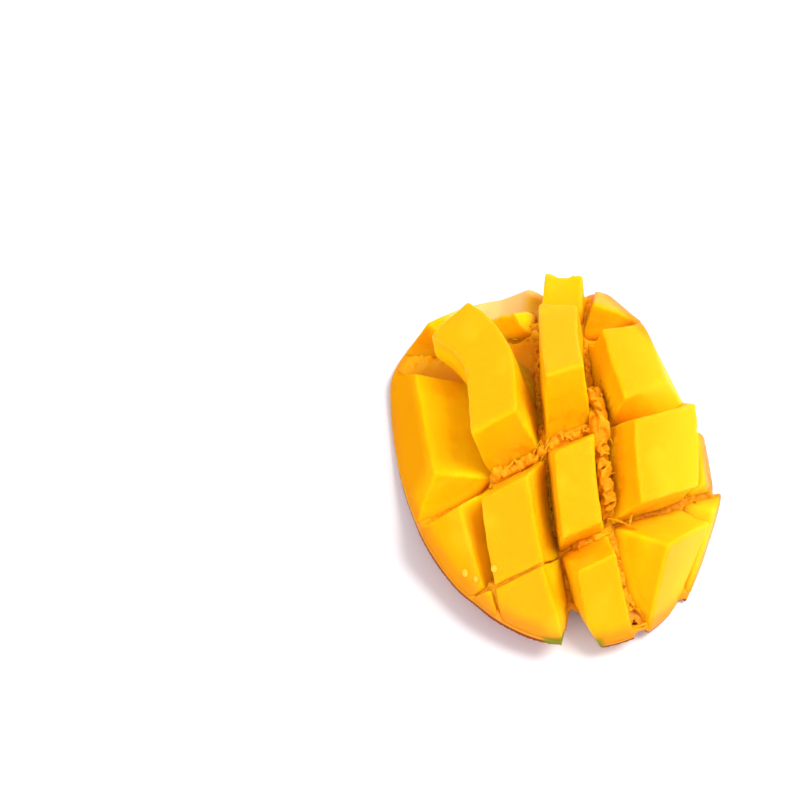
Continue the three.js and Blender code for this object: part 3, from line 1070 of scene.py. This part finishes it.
def pulpColour(tree, place):
    # flesh left on the skin in the cuts
    look = fleshLook
    lumps = noiseNode(tree, place, 420.0, 4.0, 0.65)
    broad = noiseNode(tree, place, 120.0, 2.0)
    colour = mixNode(tree, rangeNode(tree, lumps, 0.34, 0.50), look["deep"], look["string"])
    colour = mixNode(tree, rangeNode(tree, lumps, 0.50, 0.66), colour, look["pulp"])
    colour = mixNode(tree, rangeNode(tree, broad, 0.5, 0.7, 0.0, 0.45), colour, look["rich"])
    flatX, flatY = attributeNode(tree, "flatX"), attributeNode(tree, "flatY")
    paleRim = product(tree, rangeNode(tree, flatY, 42.0, 50.0), rangeNode(tree, flatX, -4.0, -9.0))
    golden = mixNode(tree, paleRim, mixNode(tree, lumps, look["gold"], look["pulp"]), look["farPale"])
    colour = mixNode(tree, rangeNode(tree, flatY, 22.0, 30.0, 0.0, 0.85), colour, golden)
    facet = product(tree, rangeNode(tree, flatX, -20.0, -23.0), rangeNode(tree, flatY, 6.0, 12.0, 0.0, 0.9))
    return mixNode(tree, facet, colour, look["facet"])


def skinMaterial():
    material, tree, shader = newMaterial("mangoSkin")
    look = skinLook
    place = tree.nodes.new("ShaderNodeTexCoord").outputs["Object"]
    under = attributeNode(tree, "underSkin")
    depth = attributeNode(tree, "depth")
    patches = noiseNode(tree, place, 22.0, 3.0)
    fine = noiseNode(tree, place, 160.0, 3.0)
    colour = mixNode(tree, rangeNode(tree, patches, 0.42, 0.58), look["red"], look["orange"])
    colour = mixNode(tree, rangeNode(tree, patches, 0.60, 0.70), colour, look["green"])
    pores = tree.nodes.new("ShaderNodeTexVoronoi")
    pores.inputs["Scale"].default_value = 330.0
    tree.links.new(place, pores.inputs["Vector"])
    specks = rangeNode(tree, pores.outputs["Distance"], 0.16, 0.10, 0.0, 0.7)
    colour = mixNode(tree, specks, colour, look["speck"])
    colour = mixNode(tree, rangeNode(tree, fine, 0.5, 0.8, 0.0, 0.25), colour, look["cutEdge"])
    colour = mixNode(tree, rangeNode(tree, under, 0.12, 0.2), colour, look["cutEdge"])
    rim = mixNode(tree, rangeNode(tree, depth, 3.0, 0.8), pulpColour(tree, place), fleshColour(tree, place))
    inner = rangeNode(tree, under, look["thickness"], look["thickness"] + 0.25)
    colour = mixNode(tree, inner, colour, rim)
    tip = product(tree, tipShare(tree, patches), rangeNode(tree, depth, 6.0, 3.0))
    colour = mixNode(tree, tip, colour, fleshLook["tip"])
    tree.links.new(colour, shader.inputs["Base Color"])
    shader.inputs["Roughness"].default_value = look["roughness"]
    shader.inputs["Specular IOR Level"].default_value = fleshLook["specular"]
    wetBump(tree, shader, place, fleshLook["bump"])
    return material


def pulpMaterial(name, fibre):
    material, tree, shader = newMaterial(name)
    place = tree.nodes.new("ShaderNodeTexCoord").outputs["Object"]
    look = fleshLook
    if fibre:
        shade = noiseNode(tree, place, 260.0, 3.0)
        colour = mixNode(tree, rangeNode(tree, shade, 0.34, 0.56), look["string"], look["pulp"])
    else:
        shade = noiseNode(tree, place, 700.0, 4.0, 0.65)
        colour = mixNode(tree, rangeNode(tree, shade, 0.36, 0.56), look["string"], look["pulp"])
        bright = rangeNode(tree, noiseNode(tree, place, 240.0, 2.0), 0.52, 0.66, 0.0, 0.6)
        colour = mixNode(tree, bright, colour, look["gold"])
    tree.links.new(colour, shader.inputs["Base Color"])
    makeMoist(shader, look["pulpSubsurface"], look["pulpSubsurfaceScale"])
    return material


juiceLook = {
    "deep": (0.90, 0.42, 0.006),
    "clear": (0.94, 0.56, 0.03),
    "roughness": 0.06,
    "refraction": 1.4,
}


def juiceMaterial():
    material, tree, shader = newMaterial("clearJuice")
    place = tree.nodes.new("ShaderNodeTexCoord").outputs["Object"]
    colour = mixNode(tree, noiseNode(tree, place, 200.0), juiceLook["deep"], juiceLook["clear"])
    tree.links.new(colour, shader.inputs["Base Color"])
    shader.inputs["Roughness"].default_value = juiceLook["roughness"]
    shader.inputs["IOR"].default_value = juiceLook["refraction"]
    return material


def dress(piece, material):
    piece.data.materials.append(material)
    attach(piece, "root")
    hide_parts("mango_half")


# camera, light and floor first, then the half

view = {
    "distance": 0.6163,
    "elevation": 60.5,            # degrees above the surface
    "azimuth": 6.1,               # towards the left of the half
    "roll": 5.7,
    "lens": 95.6,
    "shift": (-0.1948, 0.0535),
    "aimHeight": 0.020,
}

studio = {
    "floor": (0.93, 0.92, 0.93),
    "floorHalf": 4.0,
    "world": 0.76,
    "worldColour": (1.0, 0.945, 0.975),
    "key": {"place": (0.46, 0.06, 0.92), "size": 0.60, "power": 9.6, "colour": (1.0, 0.99, 0.97)},
    "fill": {"place": (-0.60, -0.75, 0.60), "size": 0.7, "power": 3.5, "colour": (1.0, 0.99, 0.97)},
}


def addCamera():
    camera = bpy.data.objects.new("camera", bpy.data.cameras.new("camera"))
    bpy.context.collection.objects.link(camera)
    camera.data.lens = view["lens"]
    camera.data.sensor_width = 36.0
    camera.data.shift_x, camera.data.shift_y = view["shift"]
    high, side, roll = (math.radians(view[key]) for key in ("elevation", "azimuth", "roll"))
    back = Vector((-math.sin(side) * math.cos(high), -math.cos(side) * math.cos(high), math.sin(high)))
    right = Vector((0, 0, 1)).cross(back).normalized()
    up = back.cross(right)
    across = math.cos(roll) * right + math.sin(roll) * up
    upward = math.cos(roll) * up - math.sin(roll) * right
    camera.location = Vector((0, 0, view["aimHeight"])) + view["distance"] * back
    camera.rotation_euler = Matrix((across, upward, back)).transposed().to_euler()
    bpy.context.scene.camera = camera


def addLight(name, light):
    lamp = bpy.data.lights.new(name, "AREA")
    lamp.shape = "DISK"
    lamp.size = light["size"]
    lamp.energy = light["power"]
    lamp.color = light["colour"]
    holder = bpy.data.objects.new(name, lamp)
    bpy.context.collection.objects.link(holder)
    holder.location = light["place"]
    holder.rotation_euler = (-Vector(light["place"])).to_track_quat("-Z", "Y").to_euler()


def addStudio():
    scene = bpy.context.scene
    scene.view_settings.view_transform = "Standard"
    world = bpy.data.worlds.new("studio")
    world.use_nodes = True
    world.node_tree.nodes["Background"].inputs["Color"].default_value = (*studio["worldColour"], 1)
    world.node_tree.nodes["Background"].inputs["Strength"].default_value = studio["world"]
    scene.world = world
    addLight("keyLight", studio["key"])
    addLight("fillLight", studio["fill"])
    mesh = bpy.data.meshes.new("floor")
    half = studio["floorHalf"]
    corners = [(-half, -half, 0), (half, -half, 0), (half, half, 0), (-half, half, 0)]
    mesh.from_pydata(corners, [], [(0, 1, 2, 3)])
    floor = bpy.data.objects.new("floor", mesh)
    bpy.context.collection.objects.link(floor)
    material, tree, shader = newMaterial("paleFloor")
    place = tree.nodes.new("ShaderNodeTexCoord").outputs["Object"]
    dimmer = tuple(0.985 * part for part in studio["floor"])
    colour = mixNode(tree, noiseNode(tree, place, 3.0), dimmer, studio["floor"])
    tree.links.new(colour, shader.inputs["Base Color"])
    shader.inputs["Roughness"].default_value = 0.7
    mesh.materials.append(material)
    floor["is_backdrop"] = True


addCamera()
addStudio()
print("camera, lights and floor made")

parts = fleshParts()
flatSkin, skinQuads, movedSkin = skinParts()
lows = [moved.min(0) for _, _, moved in parts.values()] + [movedSkin.min(0)]
highs = [moved.max(0) for _, _, moved in parts.values()] + [movedSkin.max(0)]
low, high = np.min(lows, axis=0), np.max(highs, axis=0)
place = (np.array(boxOfHalf[0]) + np.array(boxOfHalf[1])) * 500 - (low + high) / 2
place[2] = -low[2] - flatSpot
print("fine half is", np.round(high - low, 1), "mm")


def pressed(points):
    # the lowest spots lie flat on the surface
    points = points + place
    points[:, 2] = np.maximum(points[:, 2], 0.0)
    return points


flesh = fleshMaterial()
for column, (flat, quads, moved) in parts.items():
    piece = makePiece(f"flesh_column_{column + 1}", flat, quads, pressed(moved))
    dress(piece, flesh)
    print(piece.name, len(quads) * 2, "triangles")
skin = makePiece("skin", flatSkin, skinQuads, pressed(movedSkin))
dress(skin, skinMaterial())
print("skin", len(skinQuads) * 2, "triangles")
flatPulp, pulpQuads, movedPulp = pulpParts()
pulp = makePiece("pulp", flatPulp, pulpQuads, pressed(movedPulp))
dress(pulp, pulpMaterial("tornPulp", False))
print("pulp", len(pulpQuads) * 2, "triangles")
fibres = makeFibres(pressed)
dress(fibres, pulpMaterial("tornFibre", True))
print("fibres", len(fibres.data.polygons) * 2, "triangles")
dress(makeDrops(pressed), juiceMaterial())

low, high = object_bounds()
{"cad": [list(cadLow), list(cadHigh)], "visual": [list(low), list(high)]}
print("visual box", [round((b - a) * 1000, 1) for a, b in zip(low, high)], "mm")
